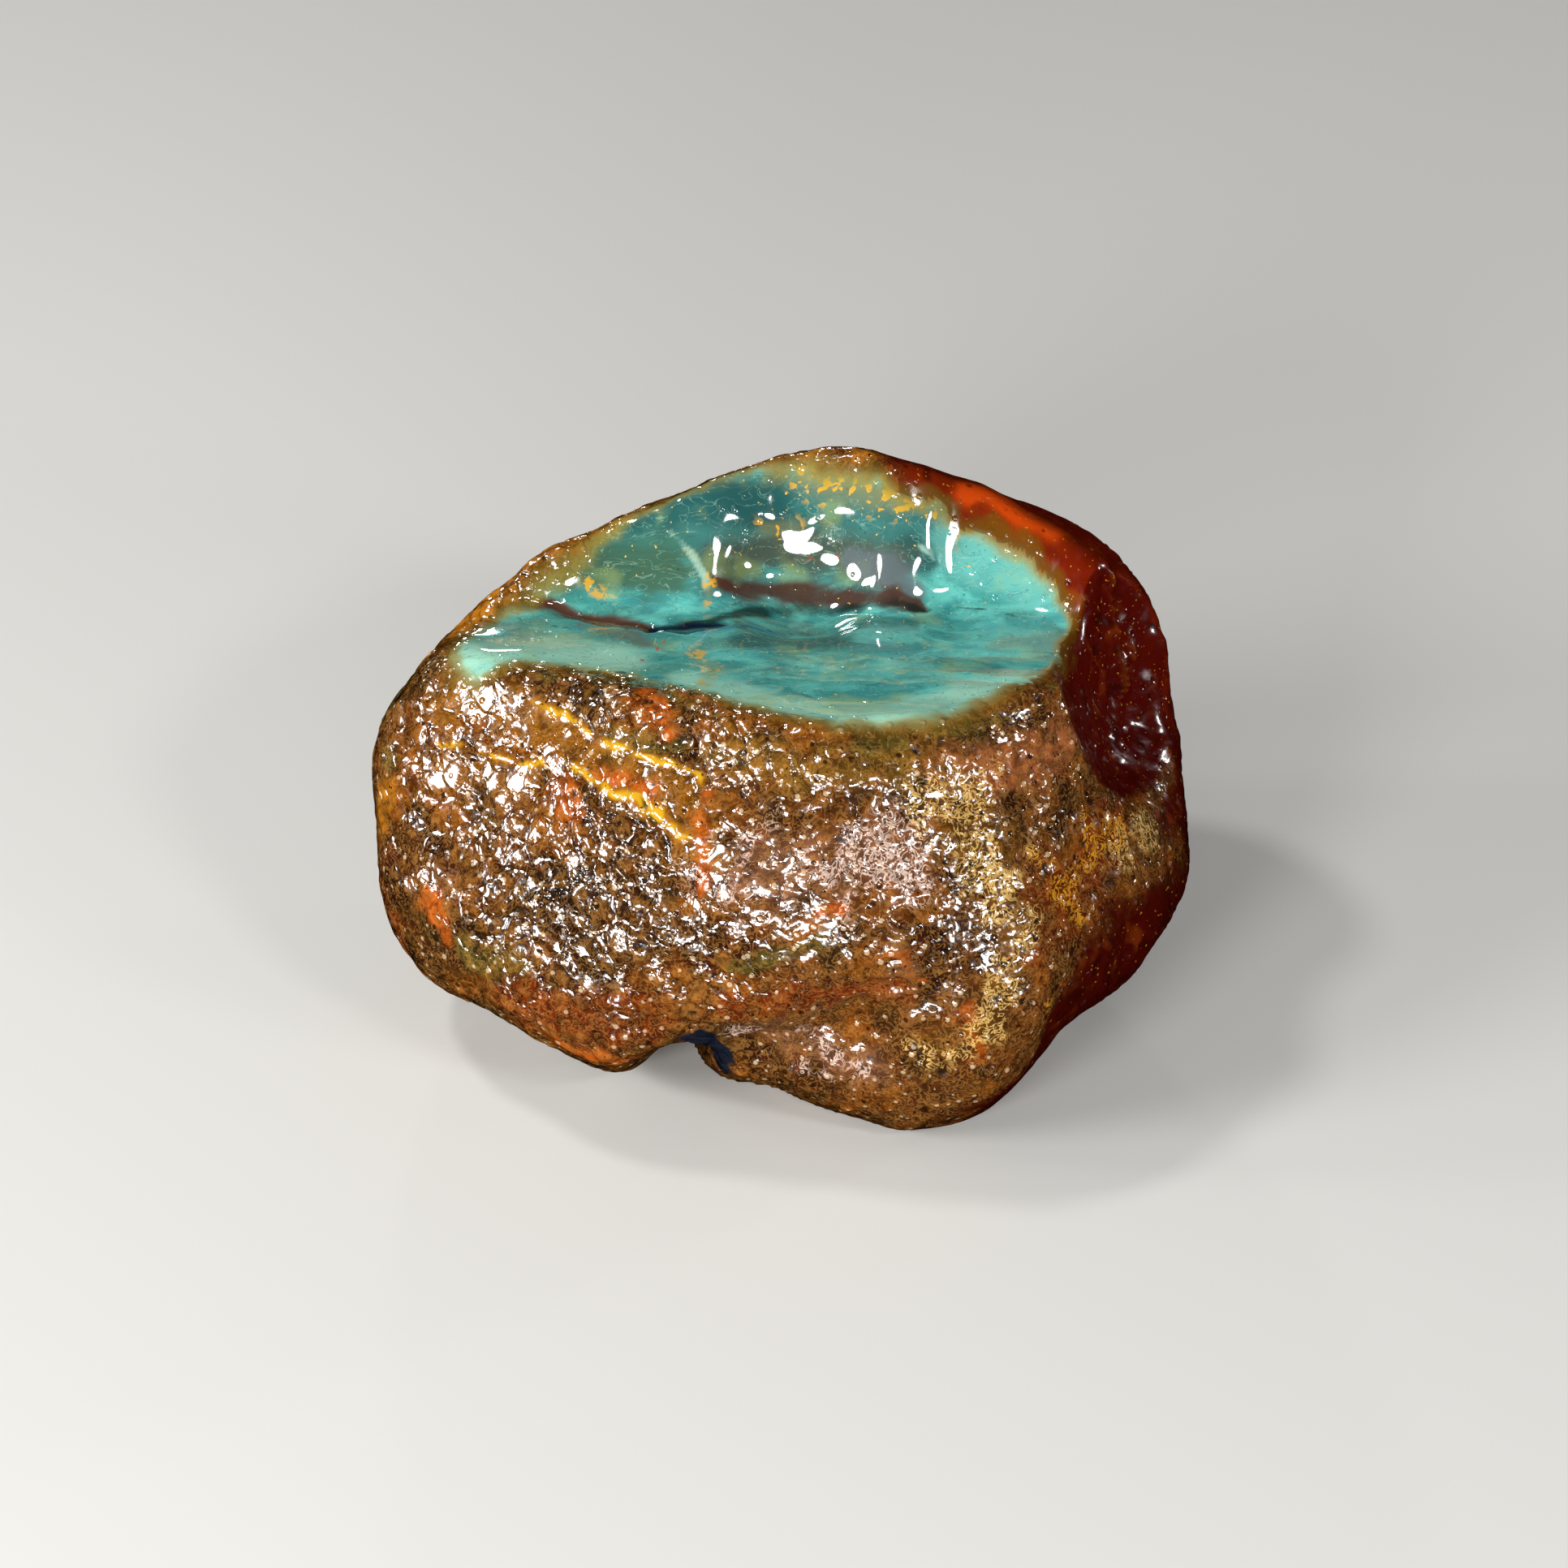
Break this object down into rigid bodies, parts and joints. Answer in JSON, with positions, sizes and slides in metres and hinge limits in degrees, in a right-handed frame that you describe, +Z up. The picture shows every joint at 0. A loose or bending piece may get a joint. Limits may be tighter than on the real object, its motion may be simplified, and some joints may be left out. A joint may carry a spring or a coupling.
{
  "type": "raw amber piece",
  "caption": "Rounded, faceted lump of raw amber that stands on a flattened underside, with a broad shelf broken across its top, a scalloped wall behind it and a notch at its foot.",
  "frame": {"origin": "on the surface that the piece stands on, under the middle of its bounding box", "axes": "+X along its length, with the notch and the front face on the -Y side, +Z up"},
  "size_m": [0.065, 0.0512, 0.0406],
  "materials": {
    "amber_nugget": "gloss"
  },
  "bodies": {
    "root": {"amber_nugget": "amber_nugget"}
  },
  "joints": []
}
